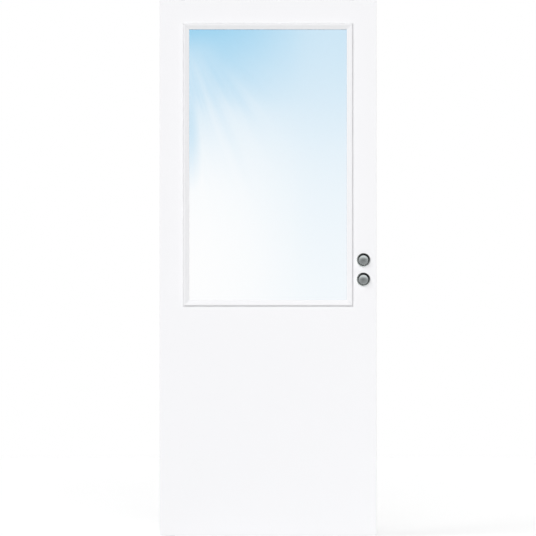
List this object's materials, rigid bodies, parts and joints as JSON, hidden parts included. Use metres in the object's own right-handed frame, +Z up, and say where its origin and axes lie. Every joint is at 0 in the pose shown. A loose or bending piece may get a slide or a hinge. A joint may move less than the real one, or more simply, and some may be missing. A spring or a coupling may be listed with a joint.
{
  "type": "sliding door",
  "caption": "White top-hung sliding door leaf with a large bead-framed glass light, two round knobs by its leading edge, and the aluminium wall track it runs on.",
  "frame": {"origin": "on the wall face of the track's fixing angle, at the middle of its length and height", "axes": "+X along the wall towards the closing side, +Y into the wall, +Z up; the leaf is closed at rest and opens towards -X"},
  "size_m": [1.656, 0.095, 2.148],
  "materials": {
    "white_lacquer": "smooth white satin lacquer on board and moulding",
    "lacquered_edge": "white lacquer over softwood, with a faint grain",
    "core_board": "light particle board",
    "pane_glass": "clear toughened glass, ground edges",
    "glazing_tape": "light grey closed-cell foam tape",
    "setting_block": "dense plastic packer",
    "satin_nickel": "satin nickel, turned",
    "dark_nickel": "darkened nickel, turned",
    "lock_steel": "bright zinc-plated steel",
    "anodised_aluminium": "natural satin anodised extrusion",
    "cast_zinc": "die-cast alloy, tumbled",
    "wheel_nylon": "black nylon",
    "cap_plastic": "grey moulded plastic",
    "guide_plastic": "white moulded nylon",
    "buffer_rubber": "black rubber",
    "plated_steel": "zinc-plated steel"
  },
  "bodies": {
    "wall_track": {"track_profile": "anodised_aluminium", "end_cap_left": "cap_plastic", "end_cap_right": "cap_plastic", "wall_angle": "anodised_aluminium", "end_stop_right": "cast_zinc", "end_stop_left": "cast_zinc", "stop_buffers": "buffer_rubber", "floor_guide": "guide_plastic"},
    "leaf": {"face_panel_front": "white_lacquer", "face_panel_back": "white_lacquer", "stile_trailing": "lacquered_edge", "stile_leading": "lacquered_edge", "top_rail": "lacquered_edge", "bottom_rail": "lacquered_edge", "core_panel": "core_board", "bead_front_bottom": "white_lacquer", "bead_front_left": "white_lacquer", "bead_front_top": "white_lacquer", "bead_front_right": "white_lacquer", "bead_back_bottom": "white_lacquer", "bead_back_left": "white_lacquer", "bead_back_top": "white_lacquer", "bead_back_right": "white_lacquer", "glass_pane": "pane_glass", "glazing_tape_front": "glazing_tape", "glazing_tape_back": "glazing_tape", "setting_blocks": "setting_block", "rose_upper_front": "dark_nickel", "rose_upper_back": "dark_nickel", "pull_knob_front": "satin_nickel", "pull_knob_back": "satin_nickel", "rose_lower_front": "dark_nickel", "rose_lower_back": "dark_nickel", "lock_body": "lock_steel", "hook_bolt": "lock_steel", "carriage_left": "cast_zinc", "carriage_right": "cast_zinc", "wheels_left": "wheel_nylon", "wheels_right": "wheel_nylon", "hanger_bolt_left": "plated_steel", "hanger_bolt_right": "plated_steel", "hanger_plate_left": "plated_steel", "hanger_plate_right": "plated_steel"},
    "turn_knobs": {"turn_knob_front": "satin_nickel", "turn_knob_back": "satin_nickel"}
  },
  "joints": [
    {"name": "leaf_slide", "type": "slide", "parent": "wall_track", "child": "leaf", "axis": [-1, 0, 0], "range_m": [0, 0.755]},
    {"name": "lock_turn", "type": "hinge", "parent": "leaf", "child": "turn_knobs", "pos_m": [0.7755, -0.052, -1.137], "axis": [0, -1, 0], "range_deg": [0, 90]}
  ]
}
